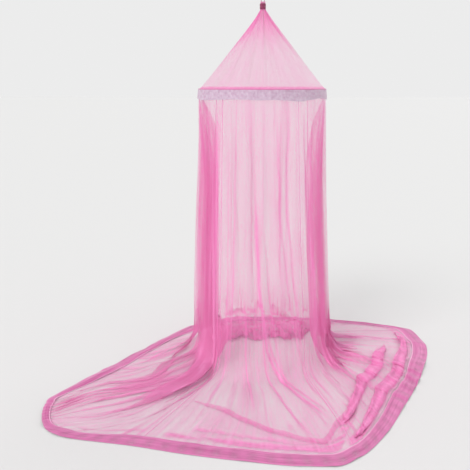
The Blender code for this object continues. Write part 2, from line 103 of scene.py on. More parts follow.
BACK_HEAP = (
    Tuck(16, 0.0, 0.0), Tuck(17, 0.0, 0.19), Tuck(18, 0.0, 0.23), Tuck(19, 0.0, 0.26),
    Tuck(20, 0.0, 0.27), Tuck(21, 0.0, 0.24), Tuck(22, 0.0, 0.20), Tuck(0, 0.0, 0.0),
)
TUCK_PROFILE = (
    (-0.012, -1, 0.0), (-0.006, 1, 0.0), (-0.002, 1, 0.6),
    (0.002, -1, 1.2), (0.006, -1, 1.8), (0.012, 1, 2.2),
)
HEAP_ROWS = (
    (0.06, 0.085), (0.22, 0.050), (0.42, 0.066), (0.62, 0.040),
    (0.84, 0.046), (0.98, 0.024), (1.0, 0.010), (0.9, 0.002),
)
# The bundles' strands: crest is how far the outer folds stand in from the outline, shift how far the
# strand lies to the left of its way on the floor, and leave the share of the way where it moves out.
Strand = namedtuple("Strand", "at crest shift leave")
STRANDS = (
    Strand(2.00, 0.000, 0.00, 0.00),
    Strand(3.00, 0.006, -0.17, 0.00),
    Strand(3.14, 0.034, -0.14, 0.02),
    Strand(3.29, 0.018, -0.11, 0.08),
    Strand(3.43, 0.042, -0.09, 0.20),
    Strand(3.57, 0.024, -0.07, 0.26),
    Strand(3.71, 0.046, -0.04, 0.28),
    Strand(3.86, 0.020, 0.02, 0.32),
    Strand(4.00, 0.030, 0.08, 0.34),
    Strand(5.00, 0.000, 0.03, 0.40),
    Strand(6.00, 0.000, 0.00, 0.40),
    Strand(13.00, 0.000, 0.00, 0.20),
    Strand(13.25, 0.020, -0.03, 0.15),
    Strand(13.50, 0.008, 0.02, 0.10),
    Strand(13.75, 0.026, 0.05, 0.10),
    Strand(14.00, 0.000, 0.03, 0.10),
    Strand(16.00, 0.000, 0.00, 0.10),
)
# How deep each fold of a bundle is, as a share of the table's depth, and the drop where it is full.
Deepening = namedtuple("Deepening", "line number share full")
DEEPENINGS = (
    Deepening(3, 0, 0.55, 0.50), Deepening(3, 1, 0.95, 0.95), Deepening(3, 2, 0.70, 1.25),
    Deepening(3, 3, 0.80, 0.20), Deepening(3, 4, 0.50, 0.16), Deepening(3, 5, 1.00, 1.10),
    Deepening(3, 6, 0.75, 0.60), Deepening(4, 0, 0.40, 0.30), Deepening(5, 0, 0.55, 0.20),
    Deepening(13, 0, 0.85, 0.90), Deepening(13, 1, 0.50, 0.70), Deepening(13, 2, 0.65, 0.20),
    Deepening(13, 3, 0.45, 0.40), Deepening(14, 0, 0.60, 0.80),
)
# Each gore: first and last flow line, and the size it was cut to.
Gore = namedtuple("Gore", "first last spacing flat")
GORES = {
    "wall_left": Gore(0, 6, 0.0062, (1.40, 2.35)),
    "wall_front": Gore(6, 11, 0.0050, (0.54, 2.10)),
    "wall_right": Gore(11, 16, 0.0062, (1.05, 2.25)),
    "wall_back": Gore(16, 23, 0.0060, (0.70, 2.05)),
}


# ---- reading the tables

def smooth(t):
    t = np.clip(t, 0.0, 1.0)
    return t * t * (3.0 - 2.0 * t)


def along(values, u):
    """Read a closed table of values at u rows, without overshoot between the rows."""
    values = np.asarray(values, dtype=float)
    count = len(values)
    i = int(math.floor(u)) % count
    t = u - math.floor(u)
    v0, v1, v2, v3 = (values[(i + k) % count] for k in (-1, 0, 1, 2))
    d0, d1, d2 = v1 - v0, v2 - v1, v3 - v2
    s1 = np.where(d0 * d1 > 0, 2 * d0 * d1 / np.where(d0 + d1 == 0, 1, d0 + d1), 0.0)
    s2 = np.where(d1 * d2 > 0, 2 * d1 * d2 / np.where(d1 + d2 == 0, 1, d1 + d2), 0.0)
    a, b = 2 * t ** 3 - 3 * t ** 2 + 1, t ** 3 - 2 * t ** 2 + t
    c, d = -2 * t ** 3 + 3 * t ** 2, t ** 3 - t ** 2
    return a * v1 + b * s1 + c * v2 + d * s2


def column_of(name):
    return [getattr(line, name) for line in LINES]


def tuck_values(tuck):
    inset = {row.line: row.inset for row in tuck}
    width = {row.line: row.width for row in tuck}
    return [(inset.get(i, tuck[0].inset), width.get(i, 0.0)) for i in range(len(LINES))]


FOOT, NEAR, FAR, HEM = (column_of(name) for name in ("foot", "near", "far", "hem"))
DEPTH, PILE, LIFT, RIPPLE = (column_of(name) for name in ("depth", "pile", "lift", "ripple"))
INNER, OUTER, HEAP = (tuck_values(tuck) for tuck in (INNER_TUCK, OUTER_TUCK, BACK_HEAP))


def hoop_angle(u):
    i = int(math.floor(u)) % len(LINES)
    here = LINES[i].hoop
    after = LINES[(i + 1) % len(LINES)].hoop + (360 if i + 1 == len(LINES) else 0)
    return math.radians(here + (after - here) * (u - math.floor(u)))


# ---- noise, in fabric coordinates

GRID = 256
LATTICE = np.random.RandomState(7).rand(GRID, GRID) * 2.0 - 1.0


def noise(x, y):
    """Smooth noise from -1 to 1 with about one feature a unit."""
    x, y = np.broadcast_arrays(np.asarray(x, dtype=float), np.asarray(y, dtype=float))
    i, j = np.floor(x).astype(int), np.floor(y).astype(int)
    s, t = smooth(x - i), smooth(y - j)
    corner = [[LATTICE[(i + a) % GRID, (j + b) % GRID] for b in (0, 1)] for a in (0, 1)]
    low = corner[0][0] * (1 - s) + corner[1][0] * s
    high = corner[0][1] * (1 - s) + corner[1][1] * s
    return low * (1 - t) + high * t


def creases(x, y):
    """Narrow ridges, from 0 to 1, where the noise crosses zero."""
    return np.clip(1.0 - np.abs(noise(x, y)) * 5.0, 0.0, 1.0) ** 1.5


# Fine relief of the cloth: each row is a noise of its own height and size of features.
Relief = namedtuple("Relief", "height across down start turn")
PLEATS = (Relief(0.0030, 0.021, 0.70, 40, 0), Relief(0.0016, 0.009, 0.35, 90, 0))
WRINKLES = (Relief(0.0050, 0.060, 0.16, 13, 0), Relief(0.0025, 0.022, 0.07, 0, 31))
PUFFS = (Relief(0.006, 0.16, 0.014, 0, 0), Relief(0.004, 0.05, 0.03, 0, 0))
CRUMPLES = (Relief(0.018, 0.065, 0.050, 8, 0), Relief(0.008, 0.018, 0.018, 0, 0))
PUFF_HEIGHT = 0.008
STRING_HEIGHT = 0.008
CREASE_HEIGHT = 0.005


def relief(rows, across, down):
    """The sum of a table's noises at places across and down the cloth."""
    return sum(row.height * noise(across / row.across + row.start, down / row.down + row.turn)
               for row in rows)


# ---- the skirt's surface

def rounded(phase, flat):
    """A wave from 1 to -1 and back over a phase of 1, with sides that are flat for deep folds."""
    plain = np.cos(2 * np.pi * phase)
    return plain * (1 - flat) + np.tanh(2.6 * plain) / math.tanh(2.6) * flat


def fold_phase(u):
    line = LINES[int(math.floor(u)) % len(LINES)]
    phase = (u - math.floor(u)) * line.folds
    return phase - (0.125 if line.deep else 0.0), line.deep


def wave(u):
    """Where a column lies in its fold: 1 on an outer crest, -1 in an inner trough."""
    phase, deep = fold_phase(u)
    return float(rounded(phase, 0.8 if deep else 0.0))


def climbed(u):
    """How high a column's layer lies in a pile of folds; it climbs only on the folds' sides."""
    i = int(math.floor(u)) % len(LINES)
    phase = (u - math.floor(u)) * LINES[i].folds
    if LINES[i].deep:
        place = phase % 1.0
        turned = np.interp(place, (0.0, 0.25, 0.5, 0.75, 1.0), (0.0, 0.0, 0.5, 0.5, 1.0))
        phase = math.floor(phase) + float(turned)
    share = phase / LINES[i].folds
    return LIFT[i] * (1.0 - share) + LIFT[(i + 1) % len(LINES)] * share


def deepening(u):
    """The depth share and full drop of the fold a column lies in."""
    line = int(math.floor(u)) % len(LINES)
    number = max(0, int(math.floor(fold_phase(u)[0])))
    for row in DEEPENINGS:
        if (row.line, row.number) == (line, number):
            return row.share, row.full
    return 1.0, FULL_DEPTH_DROP


def unevenness(u):
    """How the depth of folds and ripples varies from column to column, round 1."""
    return 1.0 + 0.16 * math.sin(9.7 * u) + 0.10 * math.sin(23.0 * u + 1.0)


TRACK_SAMPLES = 24
PROBE_STEP = 0.01


class Column:
    """One column of the skirt: its way across the floor and everything read from the tables once."""

    def __init__(self, u):
        self.u = u
        points = [along(table, u) for table in (FOOT, NEAR, FAR, HEM)]
        ends = [2 * points[0] - points[1]] + points + [2 * points[-1] - points[-2]]
        t = (np.arange(TRACK_SAMPLES) / TRACK_SAMPLES)[:, None]
        track = []
        for a, b, c, d in zip(ends, ends[1:], ends[2:], ends[3:]):
            track.append(0.5 * (2 * b + (c - a) * t + (2 * a - 5 * b + 4 * c - d) * t ** 2
                                + (3 * b - a - 3 * c + d) * t ** 3))
        self.track = np.vstack(track + [points[-1][None]])
        self.at = np.concatenate([[0.0], np.cumsum(np.linalg.norm(np.diff(self.track, axis=0), axis=1))])
        self.length = self.at[-1]
        self.foot = points[0]
        self.wave = wave(u)
        self.depth = float(along(DEPTH, u)) * unevenness(u)
        self.pile = float(along(PILE, u))
        self.lift = climbed(u)
        self.ripple = float(along(RIPPLE, u)) * unevenness(u)
        self.share, self.full = deepening(u)
        at, crest, shift, leave = np.array(STRANDS).T
        self.crest, self.shift, self.leave = (float(np.interp(u, at, v)) for v in (crest, shift, leave))
        angle = hoop_angle(u)
        self.start = FIRST_RADIUS * np.array([math.cos(angle), math.sin(angle)])
        self.early = EARLY_SPREAD + LEFT_SPREAD * max(0.0, -math.cos(angle))

    def plan(self, distance):
        return np.stack([np.interp(distance, self.at, self.track[:, k]) for k in (0, 1)], axis=1)

    def left(self, distance):
        ahead = self.plan(np.minimum(distance + PROBE_STEP, self.length))
        step = ahead - self.plan(np.maximum(distance - PROBE_STEP, 0.0))
        step /= np.maximum(np.linalg.norm(step, axis=1), 1e-9)[:, None]
        return np.stack([-step[:, 1], step[:, 0]], axis=1)

    def wall(self, height):
        """Points of the hanging wall at these heights: folds deepen downwards."""
        height = np.atleast_1d(np.asarray(height, dtype=float))
        drop = ((HOOP_HEIGHT - height) / (HOOP_HEIGHT - BEND_HEIGHT))[:, None]
        place = self.start + (self.foot - self.start) * (self.early * drop + (1.0 - self.early) * drop * drop)
        fallen = HOOP_HEIGHT - height
        depth = self.depth * self.share * (0.02 + 0.98 * smooth(fallen / self.full))
        inward = -place / np.linalg.norm(place, axis=1)[:, None]
        inset = depth * (1.0 - self.wave) / 2 + self.crest * smooth(fallen / 0.55)
        place = place + inward * inset[:, None]
        return np.column_stack([place, height])

    def floor(self, distance, layer=0.0):
        """Points of the cloth on the floor. layer counts the tuck's layers under it."""
        distance = np.atleast_1d(np.asarray(distance, dtype=float))
        crest = (1.0 + self.wave) / 2
        share = np.clip(distance / self.length, 0.0, 1.0)
        spread = smooth((share - 0.50) / 0.38)
        apart = smooth((share - self.leave) / 0.26)
        pile = self.pile * (1.0 - spread) * (1.0 - 0.60 * apart)
        aside = pile * (1.0 - crest) + self.shift * apart * (1.0 - smooth((share - 0.72) / 0.28))
        plan = self.plan(distance) + self.left(distance) * aside[:, None]
        ripple = self.ripple * (1.0 - 0.75 * smooth(share * 1.4))
        stacked = np.minimum(1.0, pile / 0.05)
        lift = 0.6 * self.lift * (1.0 - smooth(share / 0.7))
        height = REST_HEIGHT + lift + ripple * crest * (1.0 - 0.9 * stacked) + np.asarray(layer) * LAYER_STEP
        return np.column_stack([plan, height])

    def bend(self, bend_end, count):
        """From hanging to lying: the folds turn from inward to upward round the bend."""
        t = np.linspace(0.0, 1.0, count)
        base = self.wall(BEND_HEIGHT)[0]
        hanging = base[:2] - self.foot
        lying = self.floor(bend_end * t * t)
        plan = lying[:, :2] + hanging * ((1.0 - t) ** 1.5)[:, None]
        return np.column_stack([plan, lying[:, 2] + (BEND_HEIGHT - REST_HEIGHT) * (1.0 - t) ** 2])


def resample(points, count):
    """count points evenly along a polyline, without its last."""
    at = np.concatenate([[0.0], np.cumsum(np.linalg.norm(np.diff(points, axis=0), axis=1) + 1e-7)])
    want = np.linspace(0.0, at[-1], count + 1)[:-1]
    return np.stack([np.interp(want, at, points[:, k]) for k in range(points.shape[1])], axis=1)


def border_width(u):
    """The border is drawn together where it turns round the long corner."""
    drawn = smooth((u - 2.2) / 0.7) * smooth((4.9 - u) / 0.8)
    return BORDER_WIDTH - DRAWN_IN * float(drawn)


def tuck_points(col, inset, width):
    middle = col.length - inset
    raised = min(1.0, width / 0.03)
    return [(middle + past + edge * width / 2, layer * raised) for past, edge, layer in TUCK_PROFILE]


WALL_ROWS, BEND_ROWS, RUN_ROWS, TUCK_ROWS, END_ROWS, HEAP_COUNT = 96, 16, 34, 34, 16, 64


def skirt_points(u, name):
    """One fine column of a gore, from the hoop to the border."""
    col = Column(u)
    border = col.length - border_width(u)
    bend_end = min(BEND_LENGTH, 0.4 * border)
    parts = [col.wall(np.linspace(WALL_TOP, BEND_HEIGHT, WALL_ROWS + 1)[:-1])]
    if name == "wall_back":
        parts.append(heap_points(col, bend_end))
        parts.append(col.floor(np.linspace(bend_end, border, END_ROWS)))
        return np.vstack(parts)
    parts.append(col.bend(bend_end, BEND_ROWS + 1)[:-1])
    if name == "wall_left":
        parts.append(col.floor(np.linspace(bend_end, border, 2 * RUN_ROWS)))
        return np.vstack(parts)
    inset, width = along(INNER, u)
    tuck = tuck_points(col, inset, width)
    parts.append(col.floor(np.linspace(bend_end, tuck[0][0], RUN_ROWS + 1)[:-1]))
    if name == "wall_right":
        outer_inset, outer_width = along(OUTER, u)
        outer = tuck_points(col, outer_inset, outer_width)
        first = resample(np.array(tuck + [outer[0]]), TUCK_ROWS)
        second = resample(np.array(outer + [(border, 0.0)]), TUCK_ROWS)
        stations = np.vstack([first, second, [(border, 0.0)]])
    else:
        first = resample(np.array(tuck), TUCK_ROWS)
        run = resample(np.array([tuck[-1], (border, 0.0)]), END_ROWS)
        stations = np.vstack([first, run, [(border, 0.0)]])
    parts.append(col.floor(stations[:, 0], stations[:, 1]))
    return np.vstack(parts)


def heap_points(col, bend_end):
    """The heap behind: in across the floor in a crumpled layer, under, and out again."""
    push = along(HEAP, col.u)[1]
    share = min(1.0, push / 0.1)
    turned = smooth((push - 0.05) / 0.12)
    inward = col.foot / np.linalg.norm(col.foot) * (1.0 - turned) + np.array([0.0, 1.0]) * turned
    fold = col.foot - inward * push
    base = col.wall(BEND_HEIGHT)[0]
    rows = [base]
    for t, height in HEAP_ROWS:
        reach = t * (1.0 + 0.14 * float(noise(col.u * 2.3 + 5, 7 * t)))
        plan = base[:2] * (1.0 - reach) + fold * reach
        swell = 1.0 + 0.45 * float(noise(col.u * 1.7 + 11, 3 * t)) + 0.25 * float(noise(col.u * 5.0, 6 * t))
        rows.append(np.array([plan[0], plan[1], height * swell]))
    rows.append(col.floor(bend_end)[0])
    heaped = resample(np.array(rows), HEAP_COUNT)
    plain = resample(col.bend(bend_end, 40), HEAP_COUNT)
    return heaped * share + plain * (1.0 - share)


def grid_normals(points):
    """Unit normals of a grid of points, columns by rows."""
    across = np.gradient(points, axis=0)
    down = np.gradient(points, axis=1)
    normal = np.cross(across, down)
    return normal / np.maximum(np.linalg.norm(normal, axis=2), 1e-9)[:, :, None]


def soften(points, rows_from, passes):
    """Round the turns of a grid of points along its columns."""
    for _ in range(passes):
        inner = points[:, rows_from:-1]
        points[:, rows_from:-1] = (points[:, rows_from - 1:-2] + 2 * inner + points[:, rows_from + 1:]) / 4
    return points


def lengths(points, axis):
    """Distance from the first point along an axis of a grid."""
    step = np.linalg.norm(np.diff(points, axis=axis), axis=2)
    start = np.zeros_like(step[:1] if axis == 0 else step[:, :1])
    return np.concatenate([start, np.cumsum(step, axis=axis)], axis=axis)


PROBES_PER_ROW = 120


def even_places(first, last, spacing, probe):
    """Places in table rows, about spacing apart on the cloth where it is widest."""
    fine = np.linspace(first, last, PROBES_PER_ROW * (last - first) + 1)
    points = np.array([probe(u) for u in fine])
    steps = np.linalg.norm(np.diff(points, axis=0), axis=2).max(axis=1)
    at = np.concatenate([[0.0], np.cumsum(steps)])
    count = int(at[-1] / spacing)
    return np.interp(np.linspace(0.0, at[-1], count + 1), at, fine)


def probe_point(u):
    """A column's points at three heights of the wall and two places on the floor."""
    col = Column(u)
    return np.vstack([col.wall([1.30, 0.80, BEND_HEIGHT]), col.floor([0.35 * col.length, 0.95 * col.length])])


# Long creases in the cloth: each runs through places in table rows at distances down from the hoop.
Crease = namedtuple("Crease", "width strength path")
CREASES = {
    "wall_front": (
        Crease(0.009, 1.0, ((8.55, 0.50), (8.75, 0.95), (9.20, 1.30), (10.00, 1.55), (10.80, 1.86))),
        Crease(0.006, 0.8, ((8.95, 1.10), (9.45, 1.32), (10.25, 1.55), (10.95, 1.84))),
        Crease(0.006, 0.7, ((7.90, 0.95), (7.95, 1.35), (8.10, 1.75))),
        Crease(0.006, 0.8, ((8.90, 1.05), (9.05, 1.40), (9.40, 1.70), (9.90, 1.98))),
        Crease(0.006, 0.5, ((9.80, 0.05), (9.95, 0.60), (10.40, 1.10), (10.85, 1.40), (10.96, 1.75))),
        Crease(0.005, 0.5, ((7.20, 0.02), (7.10, 0.50), (6.90, 1.05), (6.60, 1.45))),
        Crease(0.005, 0.5, ((9.10, 0.60), (9.40, 1.10), (9.90, 1.45))),
        Crease(0.005, 0.4, ((6.60, 0.20), (6.50, 1.10), (6.60, 1.80))),
        Crease(0.007, 0.6, ((10.50, 0.02), (10.30, 0.50), (10.60, 1.00), (10.90, 1.40))),
        Crease(0.006, 0.5, ((9.60, 1.30), (10.10, 1.60), (10.70, 1.95))),
    ),
    "wall_left": (
        Crease(0.010, 0.9, ((5.35, 0.02), (5.20, 0.60), (5.02, 1.10), (4.98, 1.50))),
        Crease(0.007, 0.7, ((5.75, 0.02), (5.60, 0.50), (5.40, 1.10), (5.30, 1.60), (5.15, 2.00))),
        Crease(0.008, 0.8, ((1.10, 1.20), (1.45, 1.55), (1.90, 1.95))),
        Crease(0.008, 0.8, ((2.10, 1.25), (2.35, 1.60), (2.75, 2.05))),
        Crease(0.007, 0.7, ((5.10, 1.45), (5.25, 1.80), (5.10, 2.10))),
        Crease(0.006, 0.6, ((5.55, 1.40), (5.50, 1.75), (5.20, 2.10))),
    ),
    "wall_right": (
        Crease(0.007, 0.8, ((11.30, 0.05), (11.70, 0.70), (12.10, 1.10), (12.55, 1.45))),
        Crease(0.006, 0.6, ((11.60, 0.05), (12.10, 0.60), (12.45, 1.10), (12.70, 1.40))),
        Crease(0.007, 0.9, ((12.60, 1.20), (12.75, 1.40), (12.95, 1.62))),
        Crease(0.006, 0.7, ((11.25, 1.30), (11.35, 1.55), (11.40, 1.75))),
    ),
    "wall_back": (
        Crease(0.006, 0.5, ((18.30, 0.10), (18.40, 1.20))),
        Crease(0.006, 0.5, ((20.20, 0.05), (20.10, 1.20))),
        Crease(0.005, 0.4, ((21.60, 0.30), (21.50, 1.20))),
    ),
}


def long_creases(name, place, across, down):
    """How much each point lies on a long crease, from 0 to 1."""
    scale = np.abs(np.gradient(across, axis=0) / np.gradient(place, axis=0))
    total = np.zeros_like(across)
    for crease in CREASES[name]:
        at, far = np.array(crease.path).T
        target = np.interp(down, far, at) + 0.02 * np.sin(down * 21 + at[0])
        away = np.abs(place - target) * scale / crease.width
        ends = smooth((down - far[0]) / 0.30 + 0.1) * smooth((far[-1] - down) / 0.20 + 0.1)
        total = np.maximum(total, crease.strength * ends * np.exp(-away ** 2))
    return total


# Broad soft bands of gathered cloth beside the border: each runs through places in table rows at
# distances in from the border.
Band = namedtuple("Band", "width strength path")
BANDS = (
    Band(0.030, 1.0, ((9.9, 0.02), (10.6, 0.06), (11.1, 0.13), (12.0, 0.19), (13.0, 0.18), (14.0, 0.17),
                      (14.7, 0.16))),
    Band(0.026, 1.0, ((10.8, 0.01), (11.4, 0.03), (12.0, 0.05), (13.0, 0.055), (14.0, 0.05), (15.4, 0.05))),
    Band(0.016, 0.8, ((6.2, 0.03), (7.0, 0.05), (8.0, 0.03), (9.0, 0.04), (10.5, 0.01))),
    Band(0.010, 0.7, ((6.6, 0.10), (7.6, 0.09), (8.8, 0.075), (10.2, 0.05))),
    Band(0.020, 0.8, ((14.8, 0.02), (15.6, 0.03), (16.6, 0.03), (17.6, 0.02))),
    Band(0.008, 0.6, ((4.2, 0.04), (5.0, 0.06), (6.0, 0.04))),
)


def broad_bands(place, inset):
    """How much each point lies in a broad band, from 0 to 1."""
    total = np.zeros_like(inset)
    for band in BANDS:
        at, far = np.array(band.path).T
        target = np.interp(place, at, far)
        wander = 0.25 * band.width * noise(place * 4.0, target * 9.0)
        away = (inset - target - wander) / band.width
        ends = smooth((place - at[0]) / 0.25) * smooth((at[-1] - place) / 0.25)
        total = np.maximum(total, band.strength * ends * smooth(1.6 - np.abs(away)))
    return total


# ---- making pieces

def new_piece(name, points, closed, fabric, closeness, edge):
    """A mesh of quads on a grid of points, with fabric coordinates and its closeness and edge values."""
    columns, rows = points.shape[:2]
    index = np.arange(columns * rows).reshape(columns, rows)
    after = np.roll(index, -1, axis=0) if closed else index[1:]
    here = index if closed else index[:-1]
    quads = np.stack([here[:, :-1], here[:, 1:], after[:, 1:], after[:, :-1]], axis=2).reshape(-1, 4)
    mesh = bpy.data.meshes.new(name)
    mesh.from_pydata(points.reshape(-1, 3).tolist(), [], quads.tolist())
    uv = mesh.uv_layers.new(name="fabric")
    corner = fabric.reshape(-1, 2)[quads].copy()
    if closed:
        wrap = corner.reshape(columns, rows - 1, 4, 2)
        wrap[-1, :, 2:, 0] = 2 * wrap[-1, :, 1::-1, 0] - wrap[-2, :, 1::-1, 0]
    uv.data.foreach_set("uv", corner.reshape(-1).astype(np.float32))
    for label, values in (("closeness", closeness), ("edge", edge)):
        layer = mesh.attributes.new(label, "FLOAT", "POINT")
        spread = np.broadcast_to(values, (columns, rows)).reshape(-1)
        layer.data.foreach_set("value", spread.astype(np.float32))
    mesh.polygons.foreach_set("use_smooth", [True] * len(mesh.polygons))
    obj = bpy.data.objects.new(name, mesh)
    bpy.context.scene.collection.objects.link(obj)
    return obj


def finish_piece(obj, node, material):
    obj.data.materials.append(material)
    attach(obj, "root")
    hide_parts(node)
    return obj


def floor_strings(name, place, inset, down):
    """Strings of drawn cloth on the floor, from 0 up: a few everywhere, many in the right-hand fan."""
    wander = 0.4 * noise(place * 2.0, down / 0.3)
    sparse = creases(place * 9.0 + 5 + wander, down / 0.55)
    if name != "wall_right":
        return sparse * (0.30 if name == "wall_front" else 0.65)
    fan = smooth((place - 12.6) / 0.8) * smooth((16.2 - place) / 0.5) * smooth((inset - 0.26) / 0.10)
    return sparse * (0.65 + 0.9 * fan) + 1.5 * fan * creases(place * 21.0 + 2, down / 0.30 + 7)


def heap_share(place, down):
    """How much each point of the back gore lies in the heap, with an uneven upper edge."""
    row = np.arange(down.shape[1])[None, :]
    deep = np.array([along(HEAP, u)[1] for u in place[:, 0]])[:, None]
    top = WALL_ROWS + 2 + 6 * noise(place * 2.6, 0.0) + 3 * noise(place * 9.0, 4.0)
    last = WALL_ROWS + HEAP_COUNT + 6
    return smooth((row - top) / 5) * smooth((last - row) / 10) * smooth(deep / 0.12)


def make_gore(name, gore, material):
    places = even_places(gore.first, gore.last, gore.spacing, probe_point)
    places[-1] = gore.last - 1e-6
    points = np.array([skirt_points(u, name) for u in places])
    points = soften(points, WALL_ROWS - 4, 3)
    across, down = lengths(points, 0), lengths(points, 1)
    place = np.asarray(places)[:, None]
    side = np.minimum(across, across[-1] - across)
    inset = np.linalg.norm(points[:, :, :2] - points[:, -1:, :2], axis=2)
    wall = smooth((points[:, :, 2] - 0.10) / 0.25)
    below_hoop = smooth((HOOP_HEIGHT - points[:, :, 2]) / 0.12)
    middle = across[:, WALL_ROWS // 2][:, None]
    strings = floor_strings(name, place, inset, down)
    drawn = long_creases(name, place, across, down)
    band = broad_bands(place, inset) * (1 - wall)
    heaped = heap_share(place, down) if name == "wall_back" else np.zeros_like(down)

    offset = relief(PLEATS, middle, down) * wall * below_hoop
    offset = offset + (relief(WRINKLES, across, down) + STRING_HEIGHT * strings) * (1 - wall)
    offset = offset + CREASE_HEIGHT * drawn
    offset = offset + np.maximum(band * (PUFF_HEIGHT + relief(PUFFS, across, inset)), 0.0)
    offset = offset * smooth(side / 0.03) + heaped * relief(CRUMPLES, across, down)
    offset = offset * smooth((down[:, -1:] - down) / 0.03)
    points = points + grid_normals(points) * offset[:, :, None]
    points[:, :, 2] = np.maximum(points[:, :, 2], REST_HEIGHT * 0.5)

    streak = creases(middle / 0.055 + 3, down / 1.3) * wall
    folded = smooth((points[:, :, 2] - REST_HEIGHT) / 0.010) * (1 - wall)
    closeness = 0.30 * streak + 1.2 * strings * (1 - wall) + 1.4 * drawn + 0.12 * folded
    closeness = closeness + heaped * (0.25 + 1.3 * noise(across / 0.022 + 3, down / 0.016))
    closeness = closeness + band * (0.85 + 0.9 * noise(across / 0.22, inset / 0.010))
    closeness = np.clip(closeness, 0.0, 1.6)

    points[:, :, 2] += FLOOR_Z
    fabric = np.stack([np.broadcast_to(across.mean(axis=1)[:, None], across.shape), down], axis=2)
    obj = new_piece(name + "_cloth", points, False, fabric, closeness, side)
    return finish_piece(obj, name, material)


BORDER_SPACING = 0.0065
BORDER_ROWS = 15


def border_probe(u):
    col = Column(u)
    return col.floor([col.length - border_width(u), col.length])


def make_border(material):
    places = even_places(0, len(LINES), BORDER_SPACING, border_probe)[:-1]
    across = np.linspace(0.0, 1.0, BORDER_ROWS)
    points = []
    for u in places:
        col = Column(u)
        start = col.length - border_width(u) + SEWN_GAP
        points.append(col.floor(start + (col.length - start) * across))
    points = np.array(points)
    around = lengths(points, 0).mean(axis=1)[:, None]
    out = lengths(points, 1)
    rise = 0.0045 * np.sin(np.pi * across) ** 0.6 + 0.0035 * noise(around / 0.40, across * 2.5)
    rise = rise + 0.0035 * creases(around / 0.50, across * 3.0 + 7)
    rise = rise + 0.0012 * noise(around / 0.05, across * 3.0)
    points[:, :, 2] = np.maximum(points[:, :, 2] + rise * np.minimum(1.0, across * 8), REST_HEIGHT * 0.5)
    points[:, :, 2] += FLOOR_Z
    fabric = np.stack([np.broadcast_to(around, out.shape), out], axis=2)
    closeness = 0.5 + 0.8 * noise(around / 0.45, across * 3.0 + 11) + 0.4 * noise(around / 0.12, across * 8.0)
    obj = new_piece("hem_border_cloth", points, True, fabric, closeness, out)
    return finish_piece(obj, "hem_border", material)


# The crown's rings from the gathered top down, then round the hoop as a channel.
Ring = namedtuple("Ring", "height radius gather")
CROWN_RINGS = (
    Ring(CONE_HEIGHT + 0.036, 0.0125, 0.0040),
    Ring(CONE_HEIGHT + 0.029, 0.0096, 0.0018),
    Ring(CONE_HEIGHT - 0.001, 0.0096, 0.0018),
    Ring(CONE_HEIGHT - 0.008, 0.0150, 0.0080),
    Ring(0.351, 0.0335, 0.0150),
    Ring(0.290, 0.0825, 0.0165),
    Ring(0.200, 0.1590, 0.0125),
    Ring(0.100, 0.2410, 0.0070),
    Ring(0.0085, HOOP_RADIUS - 0.0046, 0.0),
    Ring(0.0058, HOOP_RADIUS + 0.0014, 0.0),
    Ring(0.0022, HOOP_RADIUS + 0.0056, 0.0),
    Ring(-0.0026, HOOP_RADIUS + 0.0056, 0.0),
    Ring(-0.0056, HOOP_RADIUS + 0.0010, 0.0),
    Ring(-0.0040, HOOP_RADIUS - 0.0045, 0.0),
    Ring(0.0008, HOOP_RADIUS - 0.0060, 0.0),
)
CROWN_COLUMNS = 480
CROWN_SPACING = 0.009


def make_crown(material):
    profile = np.array(CROWN_RINGS)
    fine = []
    for a, b in zip(profile, profile[1:]):
        count = max(2, int(np.linalg.norm((b - a)[:2]) / CROWN_SPACING))
        fine += [a + (b - a) * (i / count) for i in range(count)]
    fine.append(profile[-1])
    fine = np.array(fine)
    # The cone's profile is rounded, but not the gathered top or the channel.
    for _ in range(3):
        fine[5:-12] = (fine[4:-13] + 2 * fine[5:-12] + fine[6:-11]) / 4
    angle = 2 * np.pi * np.arange(CROWN_COLUMNS) / CROWN_COLUMNS
    turn = angle[:, None] + 0.05 * np.sin(3 * angle[:, None] + 1.0)
    height, radius, gather = fine.T
    crest = 0.55 * np.cos(16 * turn) + 0.30 * np.cos(29 * turn + 0.7) + 0.22 * np.cos(47 * turn + 2.0)
    crest = crest * (0.75 + 0.35 * np.cos(5 * turn + 0.4))
    slack = -0.0035 * np.clip(np.sin(np.pi * height / CONE_HEIGHT), 0, 1) * (1 + 0.6 * np.cos(4 * turn + 1.2))
    loose = (height > 0.02) & (height < CONE_HEIGHT - 0.01)
    reach = radius + gather * crest * 0.62 + np.where(loose, slack, 0.0)
    points = np.stack([reach * np.cos(angle[:, None]), reach * np.sin(angle[:, None]),
                       np.broadcast_to(height + HOOP_HEIGHT + FLOOR_Z, reach.shape)], axis=2)
    down = lengths(points, 1)
    fabric = np.stack([np.broadcast_to(angle[:, None] * HOOP_RADIUS, down.shape), down], axis=2)
    near_peak = smooth((height - 0.12) / 0.26)
    gathered = np.clip(crest, 0, 1) * smooth((height - 0.05) / 0.3)
    channel = np.where(height < 0.012, 0.8, 0.0)
    closeness = np.broadcast_to(0.75 * near_peak ** 2, down.shape) + 0.25 * gathered + channel
    obj = new_piece("crown_cloth", points, True, fabric, closeness, np.full_like(down, 1.0))
    return finish_piece(obj, "crown", material)


FRILL_DEPTH = 0.052
FRILL_RADIUS = HOOP_RADIUS + 0.0082
FRILL_TOP = 0.004
FRILL_COLUMNS = 900
FRILL_ROWS = 12


